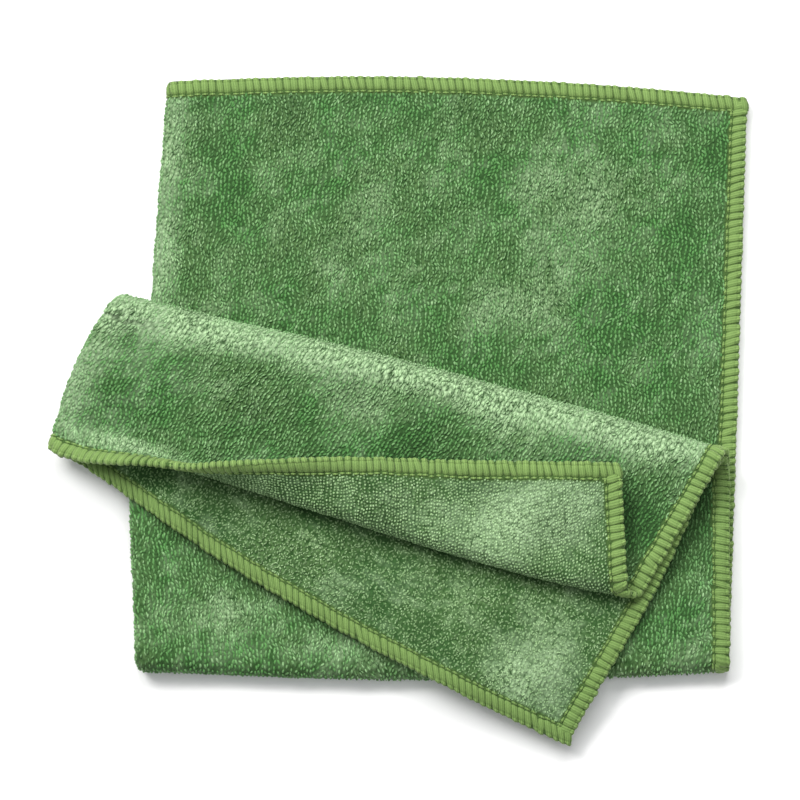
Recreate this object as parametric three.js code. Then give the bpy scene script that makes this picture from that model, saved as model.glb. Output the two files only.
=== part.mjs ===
// A microfibre cleaning cloth with an overlocked hem, lying folded on a table.
//
// The cloth is one near-square sheet. It is folded like a book, so that it has a spine and two pages. The
// closed book is folded in half at the bottom, turned down again on a slant, and last the lower corner of
// the front page is turned back up, which shows the inside of the cloth.
//
// Millimetres, +Z up, +X along the width, +Y towards the open hem at the back. The origin is the centre of
// the box that the folded cloth fills, on the table.
import * as THREE from "three";

// ---------------------------------------------------------------- sizes of the flat cloth
const PAGE_WIDTH = 202; // half the cloth's width, from the spine to the side hems
const THICKNESS = 2.0; // terry pile included
const HEM_BAND = 6; // width of the overlocked edge

// ---------------------------------------------------------------- how the closed book lies
const LAYER_GAP = 0.7; // air between two layers that rest on each other
const PAGE_OFFSET = (THICKNESS + LAYER_GAP) / 2; // a page's middle above or below the book's middle
const SPINE_OFFSET = 1.8; // the same at the spine, which is a soft round fold
const SPINE_FADE = 14; // how far from the spine the pages come together
const BOOK_THICKNESS = 2 * PAGE_OFFSET + THICKNESS;
const RISER_ROOM = 1.0; // air between the book and its half folded up over it, where the spines cross
const FLAP_ROOM = 2.7; // air between that half and the flap turned down over it

const BACK_CORNER = new THREE.Vector2(-80, 112.9); // the spine's end at the open hem
const HEM_TILT = THREE.MathUtils.degToRad(1.7); // the open hem falls off to the right
const SPINE_LEAN = THREE.MathUtils.degToRad(2.5); // the spine leans to the left on its way down
const HEM_BOW = 4.4; // the open hem bows out between its corners
const SPINE_BOW = 2.1; // and the spine between the open hem and the bottom fold

// ---------------------------------------------------------------- folds
// Each fold starts on a line across the book. "spine" and "side" say how far down the cloth from the open
// hem the line crosses the spine and the side hems, and "bow" how much further down it lies halfway
// between. "radius" is the turn's radius at the spine and at the side, "drift" how far the cloth slides
// along the fold for each millimetre past it, "rest" how far above the layer before it the cloth comes to
// lie, and "settle" how soon.
const BOTTOM = {
  spine: 200.7, side: 195.1, bow: 7.5, radius: [3.2, 3.2], drift: [-0.01, 0.055],
  rest: BOOK_THICKNESS + RISER_ROOM, settle: 30,
};
const SLANT = {
  spine: 324.4, side: 264.7, bow: 12.5, radius: [6.5, 7.2], drift: [0.055, -0.006],
  rest: BOOK_THICKNESS + FLAP_ROOM, settle: 50,
};
const CORNER = {
  spine: 381.9, side: 339.9, bow: 14.3, radius: [7, 3.5], drift: [-0.1, -0.23], rest: 3.2, settle: 46,
};
const CLOTH_END = { spine: 394.4, side: 393.9, bow: 20 };

function lineOf({ spine, side, bow }) {
  return { spine, side, bow };
}

// The corner's turn opens from nothing at the spine to a full half turn this far along
const CORNER_CLOSED = 160;
const CORNER_SINKS = 0.6; // share of a half turn from which the turned corner sinks onto the page
const CORNER_TUCK = 5; // how far its end at the side hem is pulled in along the crease
const CORNER_LIFT = 4; // and how far its side hem stands off the page
const CORNER_LIFT_FROM = 0.7; // share of the page's width from which it lifts
// The tip at the spine is drawn in along the slant fold, where the hem's stitching gathers it
const TIP_DRAW = 4.5;
const TIP_DISTANCE = 50; // at this distance past the slant fold
const TIP_WIDTH = 45; // fading this far from the spine
const FLAP_BULGE = 2.4; // before that the flap's spine bulges out
// The front page is rumpled, so that it reaches less far than the back page
const FRONT_SLACK = 8.5;
const BRIM_SLACK = 4.2; // and least where the corner begins to turn, its open turn standing up like a brim
const BRIM_SLACK_PLACE = 44; // at this distance from the spine
const BRIM_SLACK_WIDTH = 13;
// Only the tip is pulled out a little, from the spine on, most of it on the front page
const TIP_REACH = 2.1;
const TIP_REACH_FRONT = { place: 8, width: 18 };
const TIP_REACH_BACK = { place: 0, width: 5 };
// The back page has slipped out past the front page on the flap, at the side hems
const BACK_SLIP = 3.5;
// The side hem's stitching draws in the end of the corner's crease
const HEM_DRAW = 5.6;
const HEM_DRAW_POWER = 7;

// ---------------------------------------------------------------- where the flap hangs past the book
const BOOK_LEFT = -93;
const BOOK_FRONT = -94;
const DROOP = 6.5; // how far its free edge sinks
const DROOP_REACH = 30; // at this distance past the book

// ---------------------------------------------------------------- unevenness of the upper layers
const WAVES = [
  { across: 104, along: 88, phase: 0.6, depth: 0.04 },
  { across: -67, along: 120, phase: 2.1, depth: 0.025 },
  { across: 210, along: -54, phase: 4.0, depth: 0.02 },
];

// ---------------------------------------------------------------- rows and columns of the mesh
// Rows run across the book, each section ending at a line across the cloth, with this many steps. "pull"
// is the line's share of what the front page is shorter than the back page.
const SECTIONS = [
  { name: "open hem", spine: HEM_BAND, side: HEM_BAND, bow: 0, pull: 0, steps: 1 },
  { name: "base", ...lineOf(BOTTOM), pull: 0, steps: 9 },
  { name: "bottom turn", spine: 210.7, side: 205.2, bow: 7.5, pull: 0, steps: 8 },
  { name: "riser", ...lineOf(SLANT), pull: 0, steps: 6 },
  { name: "slant turn", spine: 344.9, side: 288.1, bow: 12.5, pull: 0, steps: 10 },
  { name: "flap", spine: 374.9, side: 335.4, bow: 21, pull: 0.5, steps: 7 },
  { name: "corner turn", spine: 388.9, side: 350.4, bow: 28, pull: 0.7, steps: 10 },
  { name: "hem", ...lineOf(CLOTH_END), pull: 1, steps: 6 },
];
// Columns run along the book: distances from the spine, on each page
const SPINE_STEPS = 3; // steps of the quarter turn into the spine
const NORMAL_REACH = 0.05; // distance each way over which the sheet's slope is read
const PAGE_COLUMNS = [6, 12, 22, 34, 47, 60, 74, 89, 104, 120, 137, 155, 172, 186, PAGE_WIDTH - HEM_BAND, PAGE_WIDTH];

// ---------------------------------------------------------------- helpers
const clamp = THREE.MathUtils.clamp;
const lerp = THREE.MathUtils.lerp;
const easeInOut = (t) => THREE.MathUtils.smoothstep(t, 0, 1);
const middle = (share) => 4 * share * (1 - share); // 0 at both ends and 1 halfway
const hump = (place, top, width) => Math.exp(-(((place - top) / width) ** 2)); // 1 at its top

// How far down the cloth a line lies, at a distance from the spine
function lineAt(line, fromSpine) {
  const share = fromSpine / PAGE_WIDTH;
  return lerp(line.spine, line.side, share) + line.bow * middle(clamp(share, 0, 1));
}

const hemDraw = (fromSpine) => HEM_DRAW * (Math.max(fromSpine, 0) / PAGE_WIDTH) ** HEM_DRAW_POWER;

function creaseAt(fromSpine) {
  return lineAt(CORNER, fromSpine) - hemDraw(fromSpine);
}

// Where the cloth ends, on the back page (-1) or the front page (1)
function endAt(fromSpine, page) {
  const { place, width } = page < 0 ? TIP_REACH_BACK : TIP_REACH_FRONT;
  const end = lineAt(CLOTH_END, fromSpine) + TIP_REACH * hump(fromSpine, place, width);
  if (page < 0) return end;
  const slack = FRONT_SLACK * middle(clamp(fromSpine / PAGE_WIDTH, 0, 1));
  return end - slack - BRIM_SLACK * hump(fromSpine, BRIM_SLACK_PLACE, BRIM_SLACK_WIDTH) - 2 * hemDraw(fromSpine);
}

// A turn upwards: how far forward and up a point has come that is this far past the start of the fold
function turnUp(past, radius, most = Math.PI) {
  const angle = clamp(past / radius, 0, most);
  const before = Math.min(past, 0);
  const after = Math.max(past - most * radius, 0);
  return {
    angle,
    after,
    forward: before + radius * Math.sin(angle) + after * Math.cos(most),
    rise: radius * (1 - Math.cos(angle)) + after * Math.sin(most),
  };
}

// A fold's directions on the table: "along" runs from the spine to the side, and "forward" the way the
// cloth was going
function foldFrame(spineEnd, sideEnd, heading) {
  const along = sideEnd.clone().sub(spineEnd).normalize();
  let forward = new THREE.Vector2(-along.y, along.x);
  if (forward.dot(heading) < 0) forward = forward.negate();
  return { start: spineEnd, along, forward, slide: heading.dot(along), advance: heading.dot(forward) };
}

// The way the cloth goes once it has turned back over a fold
function goneBack(fold, frame) {
  const drift = (fold.drift[0] + fold.drift[1]) / 2;
  const onward = frame.along.clone().multiplyScalar(frame.slide + drift);
  return onward.addScaledVector(frame.forward, -frame.advance);
}

// A point "down" the cloth past the start of a fold: where it lies on the table plan, and its turn
function foldOver(fold, frame, startSpot, start, fromSpine, down, most = Math.PI) {
  const share = fromSpine / PAGE_WIDTH;
  const radius = lerp(...fold.radius, share);
  const turn = turnUp((down - start) * frame.advance, radius, most);
  const slide = (down - start) * frame.slide + turn.after * lerp(...fold.drift, share);
  const spot = startSpot.clone().addScaledVector(frame.along, slide);
  spot.addScaledVector(frame.forward, turn.forward);
  return { spot, turn, radius };
}

// ---------------------------------------------------------------- the plan of the folds
const HEADING_DOWN = new THREE.Vector2(-Math.sin(SPINE_LEAN), -Math.cos(SPINE_LEAN));
const ALONG_HEM = new THREE.Vector2(Math.cos(HEM_TILT), -Math.sin(HEM_TILT));

function onBase(fromSpine, down) {
  const share = clamp(fromSpine / PAGE_WIDTH, 0, 1);
  const downShare = clamp(down / BOTTOM.spine, 0, 1);
  const spot = BACK_CORNER.clone().addScaledVector(ALONG_HEM, fromSpine);
  spot.addScaledVector(HEADING_DOWN, down);
  spot.y += HEM_BOW * middle(share);
  spot.x -= SPINE_BOW * middle(downShare) * (1 - share);
  return spot;
}

const bottomFrame = foldFrame(onBase(0, BOTTOM.spine), onBase(PAGE_WIDTH, BOTTOM.side), HEADING_DOWN);
const HEADING_UP = goneBack(BOTTOM, bottomFrame);

function onRiser(fromSpine, down) {
  const start = lineAt(BOTTOM, fromSpine);
  return foldOver(BOTTOM, bottomFrame, onBase(fromSpine, start), start, fromSpine, down);
}

const slantFrame = foldFrame(onRiser(0, SLANT.spine).spot, onRiser(PAGE_WIDTH, SLANT.side).spot, HEADING_UP);
const HEADING_FLAP = goneBack(SLANT, slantFrame);

function onFlap(fromSpine, down) {
  const start = lineAt(SLANT, fromSpine);
  return foldOver(SLANT, slantFrame, onRiser(fromSpine, start).spot, start, fromSpine, down);
}

// How far the tip at the spine is drawn in along the slant fold, and the flap's spine bulges out before it
function tipDraw(fromSpine, down) {
  const after = Math.max(down - lineAt(SLANT, fromSpine) - Math.PI * SLANT.radius[0], 0);
  const drawn = TIP_DRAW * (after / TIP_DISTANCE) ** 2 - FLAP_BULGE * middle(clamp(after / TIP_DISTANCE, 0, 1));
  return slantFrame.along.clone().multiplyScalar(drawn * hump(fromSpine, 0, TIP_WIDTH));
}

const cornerFrame = foldFrame(onFlap(0, CORNER.spine).spot, onFlap(PAGE_WIDTH, CORNER.side).spot, HEADING_FLAP);

// How far round the corner's turn goes
function cornerAngle(fromSpine) {
  const share = clamp(fromSpine / CORNER_CLOSED, 0, 1);
  return Math.PI * Math.sin((Math.PI / 2) * share);
}

function onCorner(fromSpine, down) {
  const start = creaseAt(fromSpine);
  const most = cornerAngle(fromSpine);
  const corner = foldOver(CORNER, cornerFrame, onFlap(fromSpine, start).spot, start, fromSpine, down, most);
  const tucked = CORNER_TUCK * (fromSpine / PAGE_WIDTH) ** 2 * easeInOut(corner.turn.angle / Math.PI);
  corner.spot.addScaledVector(cornerFrame.along, -tucked);
  return corner;
}

// ---------------------------------------------------------------- heights of the book's middle
function spineOffset(fromSpine) {
  return lerp(PAGE_OFFSET, SPINE_OFFSET, hump(fromSpine, 0, SPINE_FADE));
}

function baseHeight(fromSpine) {
  return spineOffset(fromSpine) + THICKNESS / 2;
}

// After a half turn the cloth sinks from the top of the turn to where it rests
function settled(fold, radius, after) {
  return lerp(2 * radius, fold.rest, easeInOut(after / fold.settle));
}

function riserHeight(fromSpine, { turn, radius }) {
  const extra = 2 * (spineOffset(fromSpine) - PAGE_OFFSET);
  const rise = turn.after > 0 ? settled(BOTTOM, radius, turn.after) : turn.rise;
  return baseHeight(fromSpine) + rise + extra * easeInOut(turn.angle / Math.PI);
}

// The flap's height depends on the place on the table alone, so that what lies on it follows it
function flapHeight(spot) {
  const fromFold = spot.clone().sub(slantFrame.start);
  const share = clamp(fromFold.dot(slantFrame.along) / PAGE_WIDTH, 0, 1);
  const after = Math.max(-fromFold.dot(slantFrame.forward), 0);
  const lying = BOOK_THICKNESS / 2 + BOTTOM.rest + settled(SLANT, lerp(...SLANT.radius, share), after);
  const pastBook = Math.hypot(Math.max(BOOK_LEFT - spot.x, 0), Math.max(BOOK_FRONT - spot.y, 0));
  return lying - DROOP * easeInOut(pastBook / DROOP_REACH);
}

// The turned corner's height above the front page. It sinks only where it has turned right over.
function cornerRise({ turn, radius }, fromSpine) {
  const turnedOver = easeInOut((cornerAngle(fromSpine) / Math.PI - CORNER_SINKS) / (1 - CORNER_SINKS));
  const lift = CORNER_LIFT * easeInOut((fromSpine / PAGE_WIDTH - CORNER_LIFT_FROM) / (1 - CORNER_LIFT_FROM));
  const sunk = 2 * radius - CORNER.rest - lift;
  return turn.rise - sunk * easeInOut(turn.after / CORNER.settle) * turnedOver;
}

// ---------------------------------------------------------------- the folded sheet
// Cross-section of the closed book: how far in from the spine a point lies, and how far off its middle
function bookSection(across) {
  const length = Math.abs(across);
  const page = Math.sign(across);
  const quarter = (Math.PI / 2) * SPINE_OFFSET;
  if (length < quarter) {
    const angle = length / SPINE_OFFSET;
    return { fromSpine: SPINE_OFFSET * (1 - Math.cos(angle)), offset: page * SPINE_OFFSET * Math.sin(angle) };
  }
  const fromSpine = SPINE_OFFSET + length - quarter;
  return { fromSpine, offset: page * spineOffset(fromSpine - SPINE_OFFSET) };
}

// The middle of the sheet. "across" is 0 at the spine, negative on the back page and positive on the
// front page; "down" is the distance from the open hem along the cloth.
function sheetMiddle(across, down) {
  const { fromSpine, offset } = bookSection(across);
  if (across > 0 && down > creaseAt(fromSpine)) {
    const corner = onCorner(fromSpine, down);
    corner.spot.add(tipDraw(fromSpine, down));
    const height = flapHeight(corner.spot) + offset + cornerRise(corner, fromSpine);
    return new THREE.Vector3(corner.spot.x, corner.spot.y, height);
  }
  let spot = onBase(fromSpine, down);
  let height = baseHeight(fromSpine);
  let tip = 0; // how far the book has turned over, so which way its pages lie off its middle
  let forward = bottomFrame.forward;
  if (down > lineAt(SLANT, fromSpine)) {
    const flap = onFlap(fromSpine, down);
    const foldStart = riserHeight(fromSpine, onRiser(fromSpine, lineAt(SLANT, fromSpine)));
    spot = flap.spot.add(tipDraw(fromSpine, down));
    const slipped = across < 0 ? BACK_SLIP * (fromSpine / PAGE_WIDTH) * easeInOut(flap.turn.after / SLANT.settle) : 0;
    spot.addScaledVector(slantFrame.along, slipped);
    height = flap.turn.after > 0 ? flapHeight(spot) : foldStart + flap.turn.rise;
    tip = Math.PI + flap.turn.angle;
    forward = slantFrame.forward;
  } else if (down > lineAt(BOTTOM, fromSpine)) {
    const riser = onRiser(fromSpine, down);
    spot = riser.spot;
    height = riserHeight(fromSpine, riser);
    tip = riser.turn.angle;
  }
  spot.addScaledVector(forward, -offset * Math.sin(tip));
  return new THREE.Vector3(spot.x, spot.y, height + offset * Math.cos(tip));
}

// The upper layers rise and fall a little, and the underside stays flat on the table
function uneven(point) {
  let wave = 0;
  for (const { across, along, phase, depth } of WAVES) {
    wave += depth * Math.sin(2 * Math.PI * (point.x / across + point.y / along) + phase);
  }
  point.z += wave * (point.z - THICKNESS / 2);
  return point;
}

const sheet = (across, down) => uneven(sheetMiddle(across, down));

// ---------------------------------------------------------------- the closed solid
function columnPlaces() {
  const quarter = (Math.PI / 2) * SPINE_OFFSET;
  const page = [];
  for (let step = 1; step <= SPINE_STEPS; step += 1) page.push((quarter * step) / SPINE_STEPS);
  page.push(...PAGE_COLUMNS);
  return [...page.map((place) => -place).reverse(), 0, ...page];
}

function rowPlaces(fromSpine, page) {
  const shorter = lineAt(CLOTH_END, fromSpine) - endAt(fromSpine, page);
  const rows = [0];
  let from = 0;
  for (const section of SECTIONS) {
    const to = lineAt(section, fromSpine) - section.pull * shorter;
    for (let step = 1; step <= section.steps; step += 1) rows.push(lerp(from, to, step / section.steps));
    from = to;
  }
  return rows;
}

function surfaceNormal(across, down) {
  const alongWidth = sheet(across + NORMAL_REACH, down).sub(sheet(across - NORMAL_REACH, down));
  const alongLength = sheet(across, down + NORMAL_REACH).sub(sheet(across, down - NORMAL_REACH));
  return alongLength.cross(alongWidth).normalize();
}

function clothGeometry() {
  const columns = columnPlaces();
  const rowCount = rowPlaces(0, 1).length;
  const upper = [];
  const lower = [];
  for (const across of columns) {
    for (const down of rowPlaces(Math.abs(across), Math.sign(across))) {
      const centre = sheet(across, down);
      const normal = surfaceNormal(across, down);
      upper.push(centre.clone().addScaledVector(normal, THICKNESS / 2));
      lower.push(centre.clone().addScaledVector(normal, -THICKNESS / 2));
    }
  }
  const faces = [];
  const quad = (a, b, c, d) => faces.push(a, b, c, a, c, d);
  const at = (column, row) => column * rowCount + row;
  const under = upper.length;
  const lastColumn = columns.length - 1;
  const lastRow = rowCount - 1;
  for (let column = 0; column < lastColumn; column += 1) {
    for (let row = 0; row < lastRow; row += 1) {
      const corners = [at(column, row), at(column, row + 1), at(column + 1, row + 1), at(column + 1, row)];
      quad(...corners);
      quad(...corners.map((index) => index + under).reverse());
    }
    quad(at(column + 1, 0), at(column + 1, 0) + under, at(column, 0) + under, at(column, 0));
    quad(at(column, lastRow), at(column, lastRow) + under, at(column + 1, lastRow) + under, at(column + 1, lastRow));
  }
  for (let row = 0; row < lastRow; row += 1) {
    const next = row + 1;
    quad(at(0, row), at(0, row) + under, at(0, next) + under, at(0, next));
    quad(at(lastColumn, next), at(lastColumn, next) + under, at(lastColumn, row) + under, at(lastColumn, row));
  }
  const geometry = new THREE.BufferGeometry().setFromPoints([...upper, ...lower]);
  geometry.setIndex(faces);
  geometry.computeBoundingBox();
  const box = geometry.boundingBox;
  geometry.translate(-(box.min.x + box.max.x) / 2, -(box.min.y + box.max.y) / 2, -box.min.z);
  geometry.computeVertexNormals();
  return geometry;
}

const terry = new THREE.MeshStandardMaterial({ color: 0x5fa85c, roughness: 0.95, metalness: 0 });
const cloth = new THREE.Mesh(clothGeometry(), terry);
cloth.name = "cloth";

const group = new THREE.Group();
group.add(cloth);
export default group;
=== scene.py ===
"""A microfibre cleaning cloth with an overlocked hem, folded on a pale table.

The cloth is one terry sheet. It is laid flat, then carried onto its folds by the same plan as its solid:
closed like a book, folded in half at the bottom, turned down on a slant, with the lower corner of the
front page turned back up. Terry loops and overlock stitches are modelled once and copied over the sheet.

The folding plan is in millimetres and every piece in metres. Flat places are (across, along, lift):
"across" is 0 at the spine, negative on the back page and positive on the front page; "along" is 0 at the
open hem and negative down the cloth; "lift" is the height over the middle of the sheet, positive on the
outer face.
"""
import math

import bpy
import numpy as np
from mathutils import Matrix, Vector, noise
from mathutils.bvhtree import BVHTree


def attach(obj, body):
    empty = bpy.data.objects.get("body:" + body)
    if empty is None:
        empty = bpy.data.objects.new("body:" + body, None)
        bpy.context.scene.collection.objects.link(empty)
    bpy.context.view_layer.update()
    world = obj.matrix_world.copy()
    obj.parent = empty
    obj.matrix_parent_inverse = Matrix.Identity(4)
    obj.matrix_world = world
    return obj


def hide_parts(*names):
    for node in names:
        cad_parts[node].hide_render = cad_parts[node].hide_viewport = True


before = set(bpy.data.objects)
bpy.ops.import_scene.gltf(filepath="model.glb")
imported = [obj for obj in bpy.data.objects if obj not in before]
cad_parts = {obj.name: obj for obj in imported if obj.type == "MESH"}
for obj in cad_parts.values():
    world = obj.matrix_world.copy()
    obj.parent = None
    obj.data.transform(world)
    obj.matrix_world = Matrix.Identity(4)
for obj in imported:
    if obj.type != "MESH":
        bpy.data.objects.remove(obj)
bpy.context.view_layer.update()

SEED = 7
MM = 0.001

# ---------- sizes of the flat cloth
PAGE_WIDTH = 202.0  # half the cloth's width, as it is folded down its middle like a book
THICKNESS = 2.0
HEM_BAND = 6.0
GROUND_THICKNESS = 1.5  # the knitted ground that the loops stand on

# ---------- how the closed book lies
LAYER_GAP = 0.7
PAGE_OFFSET = (THICKNESS + LAYER_GAP) / 2  # from the middle of the book to the middle of a page
SPINE_OFFSET = 1.8  # the same at the spine, where it is also the radius that the cloth turns on
SPINE_FADE = 14  # how far from the spine the book thins
BOOK_THICKNESS = 2 * PAGE_OFFSET + THICKNESS
RISER_ROOM = 1.0  # room between the base and the riser that lies on it
FLAP_ROOM = 2.7  # room between the riser and the flap that lies on it

BACK_CORNER = np.array([-80.0, 112.9])  # where the spine meets the open hem
BOX_CENTRE = np.array([-0.454, -1.322, 0.0])  # centre of the folded cloth in the plan's own coordinates
HEM_TILT = math.radians(1.7)
SPINE_LEAN = math.radians(2.5)
HEM_BOW = 4.4  # how far the open hem bows outwards halfway along it
SPINE_BOW = 2.1  # and how far the spine does

# A fold: how far down the cloth it lies at the spine and at the side hems, and how much further halfway
# (bow). Its radius, and how far the cloth drifts along it with each millimetre past it, at those two ends.
# How high over the fold's start the cloth comes to rest, and how far past the fold it does so (settle).
BOTTOM = dict(spine=200.7, side=195.1, bow=7.5, radius=(3.2, 3.2), drift=(-0.01, 0.055),
              rest=BOOK_THICKNESS + RISER_ROOM, settle=30)
SLANT = dict(spine=324.4, side=264.7, bow=12.5, radius=(6.5, 7.2), drift=(0.055, -0.006),
             rest=BOOK_THICKNESS + FLAP_ROOM, settle=50)
CORNER = dict(spine=381.9, side=339.9, bow=14.3, radius=(7, 3.5), drift=(-0.1, -0.23), rest=3.2, settle=46)
CLOTH_END = dict(spine=394.4, side=393.9, bow=20)

# The turned corner
CORNER_CLOSED = 160  # folded right over from here outwards, and less and less towards the spine
CORNER_SINKS = 0.6  # the share of a full fold past which it sinks onto the flap
CORNER_TUCK = 5  # how far it slips along its fold at the side hem
CORNER_LIFT = 4  # how much higher it stays at the side hem
CORNER_LIFT_FROM = 0.7  # and the share of the page's width where that starts

# The flap: its tip at the spine is drawn in along the slant fold, with a bulge before it
TIP_DRAW = 4.5
TIP_DISTANCE = 50  # from the fold to the tip
TIP_WIDTH = 45  # how far from the spine the draw fades
FLAP_BULGE = 2.4
BACK_SLIP = 3.5  # how far the back page slips along the fold at the side hem
BOOK_LEFT = -93  # past these two edges of the layers under it, the flap droops
BOOK_FRONT = -94
DROOP = 6.5
DROOP_REACH = 30

# Where the cloth ends: the front page sooner than the back page, and both a little later near the spine
FRONT_SLACK = 8.5  # how much sooner, halfway across the page
BRIM_SLACK = 4.2  # how much sooner again, about this far from the spine
BRIM_SLACK_PLACE = 44
BRIM_SLACK_WIDTH = 13
TIP_REACH = 2.1  # how much later near the spine
TIP_REACH_FRONT = dict(top=8, width=18)
TIP_REACH_BACK = dict(top=0, width=5)
HEM_DRAW = 5.6  # how far the side hem draws the corner's fold back, and its end by twice as much
HEM_DRAW_POWER = 7  # how steeply that grows towards the side hem

# Waves of the upper layers: their lengths across and along the table in millimetres, their phase, and their
# depth as a share of the height of the cloth there
WAVES = [dict(zip(("across", "along", "phase", "depth"), row)) for row in (
    (104, 88, 0.6, 0.04),
    (-67, 120, 2.1, 0.025),
    (210, -54, 4.0, 0.02),
    # and the smaller dents of soft cloth
    (47, 39, 1.3, 0.022),
    (-31, 58, 2.9, 0.016),
    (66, -25, 5.2, 0.014),
    (19, 23, 0.4, 0.007),
)]


# ---------- the folding plan
def lerp(start, end, share):
    return start + (end - start) * share


def ease(share):
    """From 0 to 1 with a soft start and stop."""
    share = np.clip(share, 0, 1)
    return share * share * (3 - 2 * share)


def middle(share):
    """0 at both ends and 1 halfway."""
    return 4 * share * (1 - share)


def hump(place, top, width):
    """1 at its top, fading away on both sides."""
    return np.exp(-(((place - top) / width) ** 2))


def line_at(line, from_spine):
    """How far down the cloth a line lies, at a distance from the spine."""
    share = from_spine / PAGE_WIDTH
    return lerp(line["spine"], line["side"], share) + line["bow"] * middle(np.clip(share, 0, 1))


def hem_draw(from_spine):
    return HEM_DRAW * (np.maximum(from_spine, 0) / PAGE_WIDTH) ** HEM_DRAW_POWER


def crease_at(from_spine):
    return line_at(CORNER, from_spine) - hem_draw(from_spine)


def end_at(from_spine, page):
    """Where the cloth ends, on the back page (negative) or the front page (positive)."""
    back = np.asarray(page) < 0
    reach = np.where(back, hump(from_spine, **TIP_REACH_BACK), hump(from_spine, **TIP_REACH_FRONT))
    end = line_at(CLOTH_END, from_spine) + TIP_REACH * reach
    slack = FRONT_SLACK * middle(np.clip(from_spine / PAGE_WIDTH, 0, 1)) + 2 * hem_draw(from_spine)
    slack = slack + BRIM_SLACK * hump(from_spine, BRIM_SLACK_PLACE, BRIM_SLACK_WIDTH)
    return end - np.where(back, 0, slack)


def scaled(direction, amounts):
    """One direction, as long as each amount."""
    return np.asarray(amounts)[:, None] * direction


def turn_up(past, radius, most=math.pi):
    """How far forward and up a point has come that is this far past the start of a fold."""
    angle = np.clip(past / radius, 0, most)
    after = np.maximum(past - most * radius, 0)
    return dict(
        angle=angle,
        after=after,
        forward=np.minimum(past, 0) + radius * np.sin(angle) + after * np.cos(most),
        rise=radius * (1 - np.cos(angle)) + after * np.sin(most),
        radius=radius,
    )


def fold_frame(spine_end, side_end, heading):
    """A fold on the table plan: where it starts and runs, and how the cloth goes over it on its heading."""
    along = (side_end - spine_end) / np.linalg.norm(side_end - spine_end)
    forward = np.array([-along[1], along[0]])
    if forward @ heading < 0:
        forward = -forward
    return dict(start=spine_end, along=along, forward=forward,
                slide=heading @ along, advance=heading @ forward)


def gone_back(fold, plan):
    """The way the cloth goes once it has turned back over a fold."""
    return plan["along"] * (plan["slide"] + sum(fold["drift"]) / 2) - plan["forward"] * plan["advance"]


def fold_over(fold, plan, start_spot, start, from_spine, down, most=math.pi):
    """Where places past the start of a fold lie on the table plan, and how far they have turned over it."""
    share = from_spine / PAGE_WIDTH
    turn = turn_up((down - start) * plan["advance"], lerp(*fold["radius"], share), most)
    slide = (down - start) * plan["slide"] + turn["after"] * lerp(*fold["drift"], share)
    spot = start_spot + scaled(plan["along"], slide) + scaled(plan["forward"], turn["forward"])
    return spot, turn


HEADING_DOWN = np.array([-math.sin(SPINE_LEAN), -math.cos(SPINE_LEAN)])
ALONG_HEM = np.array([math.cos(HEM_TILT), -math.sin(HEM_TILT)])


def on_base(from_spine, down):
    """Where the closed book lies on the table plan, up to its first fold."""
    share = np.clip(from_spine / PAGE_WIDTH, 0, 1)
    spot = BACK_CORNER + scaled(ALONG_HEM, from_spine) + scaled(HEADING_DOWN, down)
    spot[:, 1] += HEM_BOW * middle(share)
    spot[:, 0] -= SPINE_BOW * middle(np.clip(down / BOTTOM["spine"], 0, 1)) * (1 - share)
    return spot


def on_riser(from_spine, down):
    """Past the bottom fold, back over the base."""
    start = line_at(BOTTOM, from_spine)
    return fold_over(BOTTOM, BOTTOM_PLAN, on_base(from_spine, start), start, from_spine, down)


def on_flap(from_spine, down):
    """Past the slant fold, back over the riser."""
    start = line_at(SLANT, from_spine)
    return fold_over(SLANT, SLANT_PLAN, on_riser(from_spine, start)[0], start, from_spine, down)


def on_corner(from_spine, down):
    """Past the corner's own fold, turned back onto the flap. Only the front page has this fold."""
    start = crease_at(from_spine)
    crease = on_flap(from_spine, start)[0]
    spot, turn = fold_over(CORNER, CORNER_PLAN, crease, start, from_spine, down, corner_angle(from_spine))
    tucked = CORNER_TUCK * (from_spine / PAGE_WIDTH) ** 2 * ease(turn["angle"] / math.pi)
    return spot - scaled(CORNER_PLAN["along"], tucked), turn


def fold_ends(place, fold):
    """The fold's ends at the spine and at the side hems, on the table plan."""
    ends = np.array([0.0, PAGE_WIDTH]), np.array([fold["spine"], fold["side"]], float)
    spots = place(*ends)
    return spots if isinstance(spots, np.ndarray) else spots[0]


def corner_angle(from_spine):
    """How far the corner is turned over."""
    return math.pi * np.sin(math.pi / 2 * np.clip(from_spine / CORNER_CLOSED, 0, 1))


BOTTOM_PLAN = fold_frame(*fold_ends(on_base, BOTTOM), HEADING_DOWN)
SLANT_PLAN = fold_frame(*fold_ends(on_riser, SLANT), gone_back(BOTTOM, BOTTOM_PLAN))
CORNER_PLAN = fold_frame(*fold_ends(on_flap, CORNER), gone_back(SLANT, SLANT_PLAN))


def tip_draw(from_spine, down):
    """How far the tip at the spine is drawn in along the slant fold, with the flap bulging out before it."""
    after = np.maximum(down - line_at(SLANT, from_spine) - math.pi * SLANT["radius"][0], 0)
    share = after / TIP_DISTANCE
    drawn = TIP_DRAW * share**2 - FLAP_BULGE * middle(np.clip(share, 0, 1))
    return scaled(SLANT_PLAN["along"], drawn * hump(from_spine, 0, TIP_WIDTH))


def spine_offset(from_spine):
    """How far a page's middle lies from the middle of the book."""
    return lerp(PAGE_OFFSET, SPINE_OFFSET, hump(from_spine, 0, SPINE_FADE))


def base_height(from_spine):
    """How high the middle of the book lies over the table, before its first fold."""
    return spine_offset(from_spine) + THICKNESS / 2


def settled(fold, radius, after):
    """How far over its start a fold's upper layer lies, this far past the fold."""
    return lerp(2 * radius, fold["rest"], ease(after / fold["settle"]))


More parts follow.
